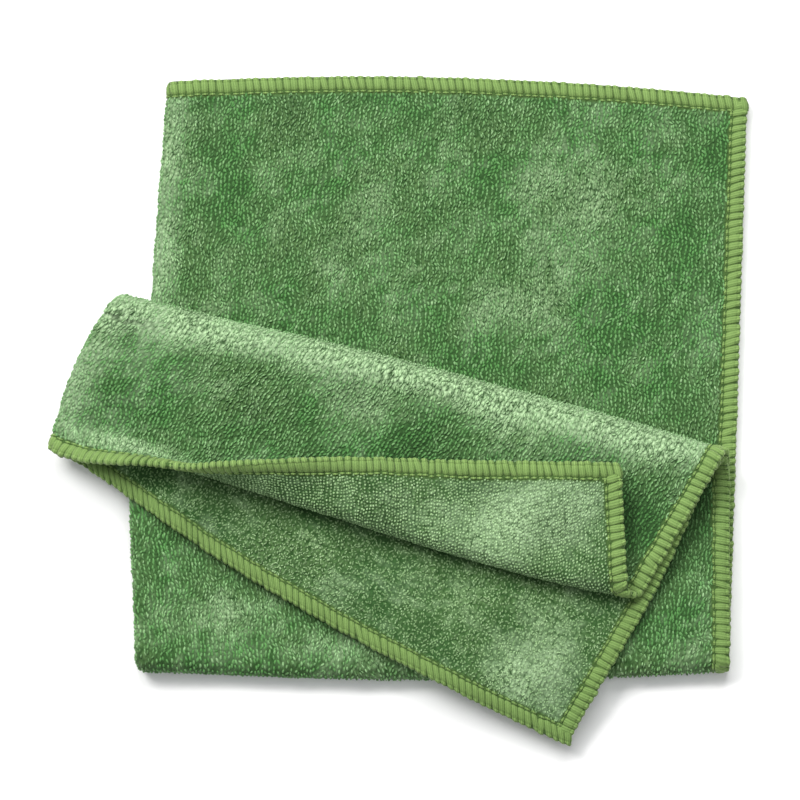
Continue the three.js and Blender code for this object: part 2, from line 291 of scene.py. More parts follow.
def riser_height(from_spine, turn):
    extra = 2 * (spine_offset(from_spine) - PAGE_OFFSET)
    rise = np.where(turn["after"] > 0, settled(BOTTOM, turn["radius"], turn["after"]), turn["rise"])
    return base_height(from_spine) + rise + extra * ease(turn["angle"] / math.pi)


def flap_height(spot):
    from_fold = spot - SLANT_PLAN["start"]
    share = np.clip(from_fold @ SLANT_PLAN["along"] / PAGE_WIDTH, 0, 1)
    after = np.maximum(-from_fold @ SLANT_PLAN["forward"], 0)
    lying = BOOK_THICKNESS / 2 + BOTTOM["rest"] + settled(SLANT, lerp(*SLANT["radius"], share), after)
    past = np.hypot(np.maximum(BOOK_LEFT - spot[:, 0], 0), np.maximum(BOOK_FRONT - spot[:, 1], 0))
    return lying - DROOP * ease(past / DROOP_REACH)


def corner_rise(turn, from_spine):
    turned_over = ease((corner_angle(from_spine) / math.pi - CORNER_SINKS) / (1 - CORNER_SINKS))
    lift = CORNER_LIFT * ease((from_spine / PAGE_WIDTH - CORNER_LIFT_FROM) / (1 - CORNER_LIFT_FROM))
    sunk = 2 * turn["radius"] - CORNER["rest"] - lift
    return turn["rise"] - sunk * ease(turn["after"] / CORNER["settle"]) * turned_over


def book_section(across):
    """Cross-section of the closed book: distance from the spine, and distance off its middle."""
    length, page = np.abs(across), np.sign(across)
    quarter = math.pi / 2 * SPINE_OFFSET
    angle = np.minimum(length, quarter) / SPINE_OFFSET
    turning = length < quarter
    from_spine = np.where(turning, SPINE_OFFSET * (1 - np.cos(angle)), SPINE_OFFSET + length - quarter)
    offset = np.where(turning, SPINE_OFFSET * np.sin(angle), spine_offset(from_spine - SPINE_OFFSET))
    return from_spine, page * offset


def with_height(spot, height):
    return np.column_stack([spot, height])


# One function for each layer: its points from their distance from the spine, how far down the cloth they are,
# and their offset from the middle of the book, which is negative on the back page
def base_points(from_spine, down, offset):
    return with_height(on_base(from_spine, down), base_height(from_spine) + offset)


def riser_points(from_spine, down, offset):
    spot, turn = on_riser(from_spine, down)
    spot += scaled(BOTTOM_PLAN["forward"], -offset * np.sin(turn["angle"]))
    return with_height(spot, riser_height(from_spine, turn) + offset * np.cos(turn["angle"]))


def flap_points(from_spine, down, offset):
    spot, turn = on_flap(from_spine, down)
    slipped = BACK_SLIP * (from_spine / PAGE_WIDTH) * ease(turn["after"] / SLANT["settle"])
    spot += tip_draw(from_spine, down) + scaled(SLANT_PLAN["along"], np.where(offset < 0, slipped, 0))
    fold_start = riser_height(from_spine, on_riser(from_spine, line_at(SLANT, from_spine))[1])
    height = np.where(turn["after"] > 0, flap_height(spot), fold_start + turn["rise"])
    angle = math.pi + turn["angle"]  # the riser has already turned the book over
    spot += scaled(SLANT_PLAN["forward"], -offset * np.sin(angle))
    return with_height(spot, height + offset * np.cos(angle))


def corner_points(from_spine, down, offset):
    spot, turn = on_corner(from_spine, down)
    spot += tip_draw(from_spine, down)
    return with_height(spot, flap_height(spot) + offset + corner_rise(turn, from_spine))


def sheet_middle(across, down):
    """Where the middle of the sheet lies once it is folded, before its waves."""
    from_spine, offset = book_section(across)
    corner = (across > 0) & (down > crease_at(from_spine))
    flap = ~corner & (down > line_at(SLANT, from_spine))
    riser = ~corner & ~flap & (down > line_at(BOTTOM, from_spine))
    base = ~corner & ~flap & ~riser
    layers = ((base, base_points), (riser, riser_points), (flap, flap_points), (corner, corner_points))
    points = np.empty((len(across), 3))
    for here, layer_points in layers:
        if here.any():
            points[here] = layer_points(from_spine[here], down[here], offset[here])
    return points


def sheet_at(across, down):
    """Where the middle of the sheet lies, with the waves of soft cloth."""
    points = sheet_middle(across, down)
    lift = np.zeros(len(points))
    for wave in WAVES:
        turns = points[:, 0] / wave["across"] + points[:, 1] / wave["along"]
        lift += wave["depth"] * np.sin(2 * math.pi * turns + wave["phase"])
    points[:, 2] += lift * (points[:, 2] - THICKNESS / 2)
    return points


def unit(vectors):
    return vectors / np.maximum(np.linalg.norm(vectors, axis=1, keepdims=True), 1e-9)


def sheet_axes(across, down):
    """Directions on the folded sheet: across the cloth, along it towards the open hem, and outwards."""
    reach = 0.05  # how far to both sides of a place the sheet's slope is taken
    width = unit(sheet_at(across + reach, down) - sheet_at(across - reach, down))
    length = unit(sheet_at(across, down - reach) - sheet_at(across, down + reach))
    return width, length, unit(np.cross(width, length))


def laid(flat):
    """Flat places laid on the folds, in metres."""
    across, down, lift = flat[:, 0], -flat[:, 1], flat[:, 2]
    outwards = sheet_axes(across, down)[2]
    return (sheet_at(across, down) + lift[:, None] * outwards - BOX_CENTRE) * MM


# ---------- handling pieces
def deselect_all():
    if bpy.context.mode != "OBJECT":
        bpy.ops.object.mode_set(mode="OBJECT")
    bpy.ops.object.select_all(action="DESELECT")


def select_only(piece):
    deselect_all()
    piece.select_set(True)
    bpy.context.view_layer.objects.active = piece


def edit_all():
    bpy.ops.object.mode_set(mode="EDIT")
    bpy.ops.mesh.select_all(action="SELECT")


def vertex_places(mesh):
    places = np.empty(len(mesh.vertices) * 3)
    mesh.vertices.foreach_get("co", places)
    return places.reshape(-1, 3)


def move_vertices(mesh, places):
    mesh.vertices.foreach_set("co", np.ascontiguousarray(places, dtype=np.float32).ravel())
    mesh.update()


def note_values(mesh, name, values):
    """Keep one number for each vertex on the mesh, for its material to read."""
    layer = mesh.attributes.new(name, "FLOAT", "POINT")
    layer.data.foreach_set("value", np.ascontiguousarray(values, dtype=np.float32))


def note_flat_places(mesh, flat):
    """Keep the flat cloth's coordinates as the UV map: 0 to 1 across and along the cloth."""
    layer = mesh.uv_layers.get("flat") or mesh.uv_layers.new(name="flat")
    corner_vertex = np.empty(len(mesh.loops), dtype=np.int32)
    mesh.loops.foreach_get("vertex_index", corner_vertex)
    uv = np.column_stack([flat[:, 0] / (2 * PAGE_WIDTH) + 0.5, 1 + flat[:, 1] / (2 * PAGE_WIDTH)])
    layer.data.foreach_set("uv", np.ascontiguousarray(uv[corner_vertex], dtype=np.float32).ravel())


# ---------- how the pile is brushed, and the sheen and shade painted on its tips
# Layers of soft random patches: strength, size in millimetres, place in the noise, octaves
OPEN_CLOUDS = ((0.8, 20, 0.4, 3), (0.45, 4.5, 5.2, 2))
# Uneven painted sheen and shade on the tips
PAINTED_LIGHT_CLOUDS = ((0.3, 13, 3.3, 3), (0.35, 3.2, 7.1, 2))
RIB_CLOUDS = ((1.3, 9, 9.7, 2),)
OCTAVE_FADE = 0.8  # how fast the finer octaves grow weaker
OCTAVE_STEP = 2.0  # how much finer each octave is than the one before
EVEN_BRUSHING = 0.5  # how open the pile stands where nothing has brushed it


def cloud(across, down, size, layer, octaves):
    """One layer of the noise, from about -1 to 1."""
    return np.array([
        noise.fractal(Vector((x / size, y / size, layer)), OCTAVE_FADE, OCTAVE_STEP, octaves,
                      noise_basis="PERLIN_ORIGINAL")
        for x, y in zip(across, down)
    ])


def clouds(across, down, layers):
    """Some layers of the noise together, each with its own strength."""
    return sum(strength * cloud(across, down, *rest) for strength, *rest in layers)


# Where hands have brushed the pile, and where sheen and shade are painted on its tips: places on the flat
# cloth in millimetres, their half widths, how much the pile stands open (negative where stroked flat), and
# how much painted sheen lies on its tips there (negative: painted shade)
BRUSHING_AND_PAINTED_LIGHT = [dict(zip(("across", "down", "wide", "long", "open", "painted_light"), row)) for row in (
    (142, 50, 20, 26, 0.3, 0.35),
    (66, 58, 22, 18, 0.3, 0.2),
    (118, 80, 16, 10, 0.3, 0.3),
    (156, 82, 14, 22, -0.7, 0.0),
    (26, 40, 12, 22, -0.6, -0.1),
    (172, 22, 12, 12, -0.5, 0.0),
    (92, 344, 14, 7, 0.5, 0.6),
    (136, 322, 16, 6, 0.4, 0.5),
    (172, 304, 18, 7, 0.2, 0.35),
    (24, 356, 16, 14, -0.6, 0.2),
    (118, 352, 22, 9, -0.4, -0.5),
    # painted shade in the channel beside the turned corner, and in the slant fold's loop on the riser
    (184, 326, 14, 14, -0.5, -0.9),
    (-194, 262, 10, 26, -0.2, -0.7),
    (168, 380, 30, 16, 0.3, 0.9),
    (-182, 384, 16, 16, 0.3, 0.8),
    (-30, 226, 14, 8, 0.4, 0.4),
    (-80, 220, 40, 6, 0.3, 0.3),
    (-14, 262, 12, 14, -0.5, 0.0),
    # painted sheen above the flap's end hem near its tip, and along the rounded spine on the base and the
    # flap
    (26, 389, 24, 4.5, 0.4, 0.9),
    (3, 60, 5, 70, 0.0, 0.8),
    (4, 368, 6, 22, 0.0, 0.7),
)]
CREST = dict(after=18, long=6.5, open=0.4, painted_light=1.5)  # along the top of the slant fold, whose crest gets a painted highlight


def patched(across, down, what):
    """What the patches and the crest together do at these places: to how open the pile stands, and to the
    painted sheen and shade on its tips.
    """
    total = 0
    for patch in BRUSHING_AND_PAINTED_LIGHT:
        total += (patch[what] * hump(across, patch["across"], patch["wide"])
                  * hump(down, patch["down"], patch["long"]))
    past_fold = down - line_at(SLANT, book_section(across)[0])
    return total + CREST[what] * hump(past_fold, CREST["after"], CREST["long"]) * (across > 0)


def brushed(across, down):
    """0 where the pile lies smooth and deep green, 1 where it stands open and frosted."""
    return np.clip(EVEN_BRUSHING + clouds(across, down, OPEN_CLOUDS) + patched(across, down, "open"), 0, 1)


def painted_light_at(across, down):
    """Painted sheen on the tips, up to 1, and painted shade, down to -1."""
    return np.clip(patched(across, down, "painted_light") + clouds(across, down, PAINTED_LIGHT_CLOUDS), -1, 1)


def rib_wander(across, down):
    """How far the ribs of the pile have strayed sideways, in millimetres."""
    return clouds(across, down, RIB_CLOUDS)


# ---------- materials
def socket_colour(red, green, blue):
    """A colour as it looks on screen, 0 to 255, made linear for a socket."""
    def linear(value):
        value /= 255
        return value / 12.92 if value <= 0.04045 else ((value + 0.055) / 1.055) ** 2.4
    return (linear(red), linear(green), linear(blue), 1)


class Nodes:
    """Short hand for adding and joining nodes in one tree."""

    def __init__(self, tree):
        self.tree = tree

    def add(self, kind, **settings):
        node = self.tree.nodes.new(kind)
        for name, value in settings.items():
            setattr(node, name, value)
        return node

    def add_group(self, group, **values):
        """Place a node group, with spaces for the underscores in its sockets' names."""
        node = self.add("ShaderNodeGroup", node_tree=group)
        for name, value in values.items():
            self.put(value, node.inputs[name.replace("_", " ")])
        return node.outputs

    def join(self, source, target):
        self.tree.links.new(source, target)

    def put(self, value, socket):
        """Join another socket to this one, or set its own value, or leave it if there is none to set."""
        if value is None:
            return
        if isinstance(value, bpy.types.NodeSocket):
            self.join(value, socket)
        else:
            socket.default_value = value

    def noted(self, name):
        """The numbers that note_values has kept on the mesh."""
        return self.add("ShaderNodeAttribute", attribute_name=name).outputs["Fac"]

    def maths(self, operation, *values, kind="ShaderNodeMath"):
        node = self.add(kind, operation=operation)
        for socket, value in zip(node.inputs, values):
            self.put(value, socket)
        return node.outputs[0]

    def vector_maths(self, operation, *values):
        return self.maths(operation, *values, kind="ShaderNodeVectorMath")

    def scale(self, vector, times):
        """A place or a colour, this many times as large."""
        return self.vector_maths("SCALE", vector, None, None, times)

    def blend(self, share, first, second):
        """Two values, with this share of the second."""
        rest = self.maths("MULTIPLY", first, 1 - share)
        return self.maths("ADD", rest, self.maths("MULTIPLY", second, share))

    def mix(self, share, first, second):
        """Two colours, with this share of the second."""
        node = self.add("ShaderNodeMix", data_type="RGBA")
        self.put(share, node.inputs["Factor"])
        self.put(first, node.inputs[6])
        self.put(second, node.inputs[7])
        return node.outputs[2]

    def ramp(self, value, source=(0.0, 1.0), result=(0.0, 1.0)):
        """A value carried from one range to another, and kept within it."""
        node = self.add("ShaderNodeMapRange", clamp=True)
        sockets = ("Value", "From Min", "From Max", "To Min", "To Max")
        for name, number in zip(sockets, (value, *source, *result)):
            self.put(number, node.inputs[name])
        return node.outputs[0]


def new_group(name, inputs, outputs):
    group = bpy.data.node_groups.new(name, "ShaderNodeTree")
    for label, kind, default in inputs:
        socket = group.interface.new_socket(label, in_out="INPUT", socket_type=kind)
        if default is not None:
            socket.default_value = default
    for label, kind in outputs:
        group.interface.new_socket(label, in_out="OUTPUT", socket_type=kind)
    nodes = Nodes(group)
    return group, nodes, nodes.add("NodeGroupInput").outputs, nodes.add("NodeGroupOutput").inputs


def flat_millimetres_group():
    """The flat cloth's own coordinates in millimetres, from its UV map."""
    group, nodes, _, result = new_group("Flat millimetres", [], [("Place", "NodeSocketVector")])
    share = nodes.add("ShaderNodeUVMap", uv_map="flat").outputs[0]
    nodes.join(nodes.vector_maths("MULTIPLY", share, (2 * PAGE_WIDTH, 2 * PAGE_WIDTH, 1)), result["Place"])
    return group


FLECK_RANGE = (0.3, 0.7)  # of the noise: below it a fibre is dark, above it light


def fibre_group():
    """Fine fibres: a height and a light and dark fleck, for thread and terry alike."""
    group, nodes, given, result = new_group(
        "Fine fibres",
        [("Place", "NodeSocketVector", None), ("Fibre length", "NodeSocketFloat", 0.8),
         ("Fibre width", "NodeSocketFloat", 0.2)],
        [("Height", "NodeSocketFloat"), ("Fleck", "NodeSocketFloat")],
    )
    stretch = nodes.add("ShaderNodeCombineXYZ")
    nodes.join(nodes.maths("DIVIDE", 1.0, given["Fibre width"]), stretch.inputs[0])
    nodes.join(nodes.maths("DIVIDE", 1.0, given["Fibre length"]), stretch.inputs[1])
    stretch.inputs[2].default_value = 1
    strands = nodes.add("ShaderNodeTexNoise", noise_dimensions="3D")
    strands.inputs["Scale"].default_value = 1
    strands.inputs["Detail"].default_value = 2
    nodes.join(nodes.vector_maths("MULTIPLY", given["Place"], stretch.outputs[0]), strands.inputs["Vector"])
    nodes.join(strands.outputs[0], result["Height"])
    nodes.join(nodes.ramp(strands.outputs[0], FLECK_RANGE), result["Fleck"])
    return group


KNIT_WANDER = (1.4, 1.4, 0)  # how far the knitted loops stray, in millimetres
KNIT_WANDER_SCALE = 0.35  # how often they do, for each millimetre
KNIT_STRETCH = (1, 0.8, 1)  # makes them longer than they are wide
KNIT_UNEVENNESS = 0.75
KNIT_LOOP_EDGE = 0.75  # where a loop has sunk to the ground, in rib pitches from its middle
KNIT_PITCH = 1.5
KNIT_FLECKS = 0.3  # the fibres' share of how light the knit is
KNIT_FIBRES = 0.35  # how high the fibres stand, as a share of the knitted loops


def loop_group():
    """Terry loops in wandering ribs, for cloth where no single loops are modelled."""
    group, nodes, given, result = new_group(
        "Terry loops",
        [("Place", "NodeSocketVector", None), ("Rib pitch", "NodeSocketFloat", 1.5)],
        [("Height", "NodeSocketFloat")],
    )
    wander = nodes.add("ShaderNodeTexNoise", noise_dimensions="2D")
    wander.inputs["Scale"].default_value = KNIT_WANDER_SCALE
    nodes.join(given["Place"], wander.inputs["Vector"])
    pushed = nodes.vector_maths("MULTIPLY_ADD", wander.outputs["Color"], KNIT_WANDER, given["Place"])
    cells = nodes.add("ShaderNodeTexVoronoi", voronoi_dimensions="2D", feature="F1")
    cells.inputs["Randomness"].default_value = KNIT_UNEVENNESS
    nodes.join(nodes.vector_maths("MULTIPLY", pushed, KNIT_STRETCH), cells.inputs["Vector"])
    nodes.join(nodes.maths("DIVIDE", 1.0, given["Rib pitch"]), cells.inputs["Scale"])
    nodes.join(nodes.ramp(cells.outputs["Distance"], (0.0, KNIT_LOOP_EDGE), (1.0, 0.0)), result["Height"])
    return group


FLAT_MILLIMETRES = flat_millimetres_group()
FINE_FIBRES = fibre_group()
TERRY_LOOPS = loop_group()


def new_material(name, roughness, shine, sheen=0.0, sheen_roughness=0.5, sheen_tint=(1, 1, 1, 1)):
    material = bpy.data.materials.new(name)
    material.use_nodes = True
    nodes = Nodes(material.node_tree)
    shader = material.node_tree.nodes["Principled BSDF"]
    shader.inputs["Roughness"].default_value = roughness
    shader.inputs["Specular IOR Level"].default_value = shine
    shader.inputs["Sheen Weight"].default_value = sheen
    shader.inputs["Sheen Roughness"].default_value = sheen_roughness
    shader.inputs["Sheen Tint"].default_value = sheen_tint
    return material, nodes, shader


def bump(nodes, shader, height, depth):
    """Raise the surface by up to this depth, in millimetres."""
    node = nodes.add("ShaderNodeBump")
    node.inputs["Strength"].default_value = 1
    node.inputs["Distance"].default_value = depth * MM
    nodes.join(height, node.inputs["Height"])
    nodes.join(node.outputs[0], shader.inputs["Normal"])


# Painted shade at the foot of the terry loops and in the gaps between them
PAINTED_ROOT_SHADE = socket_colour(30, 66, 22)
# Painted sheen: the pale green that the tips take on where they catch the light
PAINTED_SHEEN_GREEN = socket_colour(196, 224, 180)
MOST_PAINTED_SHEEN = 0.5  # the share of that painted sheen's green in the tips with the most painted sheen
DEEPEST_PAINTED_SHADE = 0.4  # how bright the tips are under the deepest painted shade, as a share
TIP_BRIGHTNESS = (1.3, 2.05)  # where the pile is smooth, and where it stands open
ROOT_SHADE_LIGHTNESS = (0.3, -0.1)  # likewise, how much light reaches the foot of the loops, out of its painted shade
LOOP_FLECKS = 0.25  # the fibres' share of how light a loop is


def terry_colour(nodes, smooth, frosted, shade_and_flecks):
    """Green where the pile is brushed smooth, paler where it stands open, with painted shade down at its
    roots and painted sheen and shade on its tips.
    """
    frost, painted_light = nodes.noted("frost"), nodes.noted("painted_light")
    painted_sheen_share = nodes.ramp(painted_light, result=(0.0, MOST_PAINTED_SHEEN))
    tips = nodes.mix(painted_sheen_share, nodes.mix(frost, smooth, frosted), PAINTED_SHEEN_GREEN)
    painted_shade_factor = nodes.ramp(painted_light, (-1.0, 0.0), (DEEPEST_PAINTED_SHADE, 1.0))
    lit = nodes.scale(tips, nodes.maths("MULTIPLY", nodes.ramp(frost, result=TIP_BRIGHTNESS), painted_shade_factor))
    root = nodes.ramp(frost, result=ROOT_SHADE_LIGHTNESS)
    return nodes.mix(nodes.ramp(shade_and_flecks, result=(root, 1.0)), PAINTED_ROOT_SHADE, lit)


def ground_material():
    """The sheet itself: terry, and thread-covered where the hem is overlocked."""
    material, nodes, shader = new_material("terry_ground", roughness=0.9, shine=0.25, sheen=0.35,
                                           sheen_roughness=0.45, sheen_tint=socket_colour(190, 220, 175))
    place = nodes.add_group(FLAT_MILLIMETRES)["Place"]
    loops = nodes.add_group(TERRY_LOOPS, Place=place, Rib_pitch=KNIT_PITCH)["Height"]
    fibres = nodes.add_group(FINE_FIBRES, Place=place, Fibre_length=0.7, Fibre_width=0.35)
    # Painted shade: the knit darkens between its loops, its greens are darker than the loops' own, and the
    # hem band is a dark thread green for the shade in the gaps between stitches
    shade_and_flecks = nodes.blend(KNIT_FLECKS, loops, fibres["Fleck"])
    terry = terry_colour(nodes, socket_colour(48, 82, 40), socket_colour(74, 100, 60), shade_and_flecks)
    colour = nodes.mix(nodes.noted("hem"), terry, socket_colour(66, 94, 44))
    nodes.join(colour, shader.inputs["Base Color"])
    bump(nodes, shader, nodes.maths("MULTIPLY_ADD", fibres["Height"], KNIT_FIBRES, loops), depth=0.5)
    return material


def pile_material(name, smooth, frosted, sheen):
    """Terry loops: painted shade at the root, light at the tip, paler where the pile is brushed open."""
    material, nodes, shader = new_material(name, roughness=0.88, shine=0.18, sheen=sheen,
                                           sheen_roughness=0.4, sheen_tint=socket_colour(190, 228, 172))
    place = nodes.scale(nodes.add("ShaderNodeTexCoord").outputs["Object"], 1 / MM)
    fibres = nodes.add_group(FINE_FIBRES, Place=place, Fibre_length=0.5, Fibre_width=0.3)
    shade_and_flecks = nodes.blend(LOOP_FLECKS, nodes.noted("tip"), fibres["Fleck"])
    nodes.join(terry_colour(nodes, smooth, frosted, shade_and_flecks), shader.inputs["Base Color"])
    bump(nodes, shader, fibres["Height"], depth=0.12)
    return material


STRAND_STRAY = 0.9  # how far fibres stray across the thread, in strands
STRAND_SHADE_SHARE = 0.4  # the strands' share of how light the thread is: painted shade between them
STRAND_DEPTH = 0.3  # how deep the strands show, as a share of the stitch's own roundness


def thread_material():
    """Yellow-green overlock thread: the strands of each stitch lie side by side over the edge."""
    material, nodes, shader = new_material("overlock_thread", roughness=0.75, shine=0.2, sheen=0.3,
                                           sheen_roughness=0.4, sheen_tint=socket_colour(225, 238, 190))
    place = nodes.add_group(FLAT_MILLIMETRES)["Place"]
    fibres = nodes.add_group(FINE_FIBRES, Place=place, Fibre_length=0.5, Fibre_width=0.5)
    tip = nodes.noted("tip")
    strayed = nodes.maths("MULTIPLY_ADD", fibres["Height"], STRAND_STRAY, nodes.noted("strand"))
    ridge = nodes.maths("ABSOLUTE", nodes.maths("SINE", nodes.maths("MULTIPLY", strayed, math.pi)))
    # Painted shade: the thread darkens to a deep green between its strands and towards each stitch's sides
    light = nodes.blend(STRAND_SHADE_SHARE, tip, ridge)
    colour = nodes.mix(light, socket_colour(80, 110, 54), socket_colour(142, 174, 100))
    nodes.join(colour, shader.inputs["Base Color"])
    strands = nodes.maths("ADD", ridge, fibres["Height"])
    bump(nodes, shader, nodes.maths("MULTIPLY_ADD", strands, STRAND_DEPTH, tip), depth=0.32)
    return material


TERRY_GROUND = ground_material()
OUTER_PILE = pile_material("outer_pile", smooth=socket_colour(96, 151, 85),
                           frosted=socket_colour(130, 168, 116), sheen=0.3)
INNER_PILE = pile_material("inner_pile", smooth=socket_colour(116, 150, 98),
                           frosted=socket_colour(162, 192, 142), sheen=0.35)
OVERLOCK_THREAD = thread_material()


def finish_piece(piece, material):
    piece.data.materials.clear()
    piece.data.materials.append(material)
    select_only(piece)
    bpy.ops.object.shade_smooth()
    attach(piece, "root")
    return piece


# ---------- the sheet
# Columns and rows of the flat sheet, closest together where it folds and where the hem begins
HEM_FACES = (HEM_BAND - 0.4, HEM_BAND + 0.6)  # both sides of the narrow faces where the hem's colour ends
SPINE_STEPS = 4
PAGE_STEPS = 65
HEM_COLUMNS = (HEM_FACES[0], 3.6, 1.6, 0)  # in from the side hems
HEM_STEPS = 3
SHEET_ROWS = (
    # ends at,  steps,  share of the front page's shortening taken up by then
    (dict(spine=HEM_FACES[0], side=HEM_FACES[0], bow=0), HEM_STEPS, 0.0),
    (dict(spine=HEM_FACES[1], side=HEM_FACES[1], bow=0), 1, 0.0),
    (BOTTOM, 58, 0.0),
    (dict(spine=210.7, side=205.2, bow=7.5), 10, 0.0),
    (SLANT, 30, 0.0),
    (dict(spine=344.9, side=288.1, bow=12.5), 14, 0.0),
    (dict(spine=374.9, side=335.4, bow=21), 15, 0.5),
    (dict(spine=388.9, side=350.4, bow=28), 16, 0.7),
)
SHEET_END_STEPS = 15


def sheet_columns():
    """Places across the cloth of every column."""
    quarter = math.pi / 2 * SPINE_OFFSET
    page = np.concatenate([
        np.linspace(0, quarter, SPINE_STEPS + 1)[1:],
        np.linspace(quarter, PAGE_WIDTH - HEM_FACES[1], PAGE_STEPS + 1)[1:],
        PAGE_WIDTH - np.array(HEM_COLUMNS),
    ])
    return np.concatenate([-page[::-1], [0], page])


def sheet_rows(across):
    """Distances down the cloth of every row, along each column."""
    from_spine = book_section(across)[0]
    end = end_at(from_spine, across)
    shorter = line_at(CLOTH_END, from_spine) - end
    rows, start = [np.zeros(len(across))], np.zeros(len(across))
    stops = [(line_at(line, from_spine) - pull * shorter, steps) for line, steps, pull in SHEET_ROWS]
    stops += [(end - HEM_FACES[1], SHEET_END_STEPS), (end - HEM_FACES[0], 1), (end, HEM_STEPS)]
    for stop, steps in stops:
        rows += [lerp(start, stop, step / steps) for step in range(1, steps + 1)]
        start = stop
    return np.array(rows)


def make_sheet():
    columns = sheet_columns()
    rows = sheet_rows(columns)
    deselect_all()
    bpy.ops.mesh.primitive_grid_add(x_subdivisions=len(columns) - 1, y_subdivisions=len(rows) - 1, size=2)
    piece = bpy.context.object
    piece.name = "cloth_sheet"
    grid = vertex_places(piece.data)
    column = np.rint((grid[:, 0] + 1) / 2 * (len(columns) - 1)).astype(int)
    row = np.rint((1 - grid[:, 1]) / 2 * (len(rows) - 1)).astype(int)
    flat = np.column_stack([columns[column], -rows[row, column], np.zeros(len(grid))])
    end = end_at(book_section(flat[:, 0])[0], flat[:, 0])
    from_edge = np.minimum.reduce([PAGE_WIDTH - np.abs(flat[:, 0]), -flat[:, 1], end + flat[:, 1]])
    note_values(piece.data, "hem", (from_edge < HEM_BAND).astype(float))
    note_values(piece.data, "frost", brushed(flat[:, 0], -flat[:, 1]))
    # Painted sheen and shade, for the ground's colour
    note_values(piece.data, "painted_light", painted_light_at(flat[:, 0], -flat[:, 1]))
    note_flat_places(piece.data, flat)
    move_vertices(piece.data, laid(flat))
    select_only(piece)
    bpy.ops.object.modifier_add(type="SOLIDIFY")
    thicken = piece.modifiers[-1]
    thicken.thickness = GROUND_THICKNESS * MM
    thicken.offset = 0
    bpy.ops.object.modifier_apply(modifier=thicken.name)
    return finish_piece(piece, TERRY_GROUND)


# ---------- pile
def model_loop():
    """One terry loop as a small dome, 1 across, 1 long and 1 high, open where it meets the ground."""
    deselect_all()
    bpy.ops.mesh.primitive_uv_sphere_add(segments=5, ring_count=4, radius=0.5)
    loop = bpy.context.object
    edit_all()
    bpy.ops.mesh.bisect(plane_co=(0, 0, 0.01), plane_no=(0, 0, 1), clear_inner=True)
    bpy.ops.mesh.select_all(action="SELECT")
    bpy.ops.transform.resize(value=(1, 1, 2))
    bpy.ops.object.mode_set(mode="OBJECT")
    return loop


def copied(name, pattern, places, tip):
    """One piece made of a copy of the pattern's mesh at each place: places is (copies, vertices, 3)."""
    faces = [tuple(face.vertices) for face in pattern.data.polygons]
    copies, count = places.shape[:2]
    corners = np.array([len(face) for face in faces])
    flat_faces = np.concatenate([np.array(face) for face in faces])
    mesh = bpy.data.meshes.new(name)
    mesh.vertices.add(copies * count)
    mesh.vertices.foreach_set("co", np.ascontiguousarray(places, dtype=np.float32).ravel())
    mesh.loops.add(copies * len(flat_faces))
    starts = np.arange(copies)[:, None] * count
    mesh.loops.foreach_set("vertex_index", (starts + flat_faces[None]).ravel().astype(np.int32))
    mesh.polygons.add(copies * len(faces))
    first = np.concatenate([[0], np.cumsum(np.tile(corners, copies))[:-1]])
    mesh.polygons.foreach_set("loop_start", first.astype(np.int32))
    mesh.update(calc_edges=True)
    note_values(mesh, "tip", np.asarray(tip).ravel())
    piece = bpy.data.objects.new(name, mesh)
    bpy.context.collection.objects.link(piece)
    return piece


OUTER_LOOPS = dict(rib=1.32, step=1.35, wide=0.78, long=2.1, high=1.05, lean=0.45, scatter=0.2, turn=0.28,
                   frost=(0, 1))
CORNER_LOOPS = dict(rib=1.1, step=1.1, wide=0.9, long=1.15, high=0.75, lean=0.3, scatter=0.12, turn=0.2,
                    frost=(0.4, 1))
LOWER_PAGE_LOOPS = dict(rib=1.0, step=1.0, wide=0.56, long=1.25, high=0.8, lean=0.4, scatter=0.4, turn=0.8,
                        frost=(0.1, 0.9))
# Each bed of loops: the part of the flat cloth it covers, its face, and its loops in millimetres
PILE_BEDS = (
    dict(name="pile_base_left", across=(0, 97.5), down=(5.2, 150), face=1, **OUTER_LOOPS),
    dict(name="pile_base_right", across=(97.5, 197), down=(5.2, 150), face=1, **OUTER_LOOPS),
    dict(name="pile_front_top", across=(-3, 197), down=(260, 395), face=1, **OUTER_LOOPS),
    dict(name="pile_riser", across=(-197, 3), down=(196, 350), face=1, **OUTER_LOOPS),
    dict(name="pile_corner", across=(20, 197), down=(330, 414), face=-1, **CORNER_LOOPS),
    dict(name="pile_lower_page", across=(-197, 0), down=(285, 414), face=-1, **LOWER_PAGE_LOOPS),
)
PILE_OVER_HEM = 0.3  # how far the pile reaches into the hem

# How single loops differ: in size and height, as shares of their bed's own, in how light their tips are, in
# how they lean down the cloth and to the side, and in their painted sheen and shade
LOOP_SIZES = (0.85, 1.15)
LOOP_HEIGHTS = (0.65, 1.25)
LOOP_TIPS = (0.4, 1.0)
LEAN_SCATTER = 0.15
SIDE_LEAN_SCATTER = 0.2
PAINTED_LIGHT_SCATTER = 0.22
# And from where the pile is brushed smooth to where it stands open
HEIGHT_BY_FROST = (0.6, 1.15)
WIDTH_BY_FROST = (1.3, 0.95)
LEAN_BY_FROST = (1.0, 0.4)
TURN_WITH_RIB = 1.3  # how far the loops turn, for each turn of their rib
LOOP_SUNK = 0.1  # how far the loops start below the ground's surface

# A loop is in the open if a ray up and outwards, started SKY_START millimetres from the middle of the sheet,
# meets no cloth within OPEN_SKY millimetres
MOST_DOWNWARDS = -0.8  # the height of the outward direction below which a face looks down
SKY_START = 1.2
SKY_REACH = 250
OPEN_SKY = 9

# A loop is clear if no layer lies between a point just over the ground and the loop's upper part
CLEAR_START = 0.3
CLEAR_SHARE = 0.3  # the upper part, as heights above this share


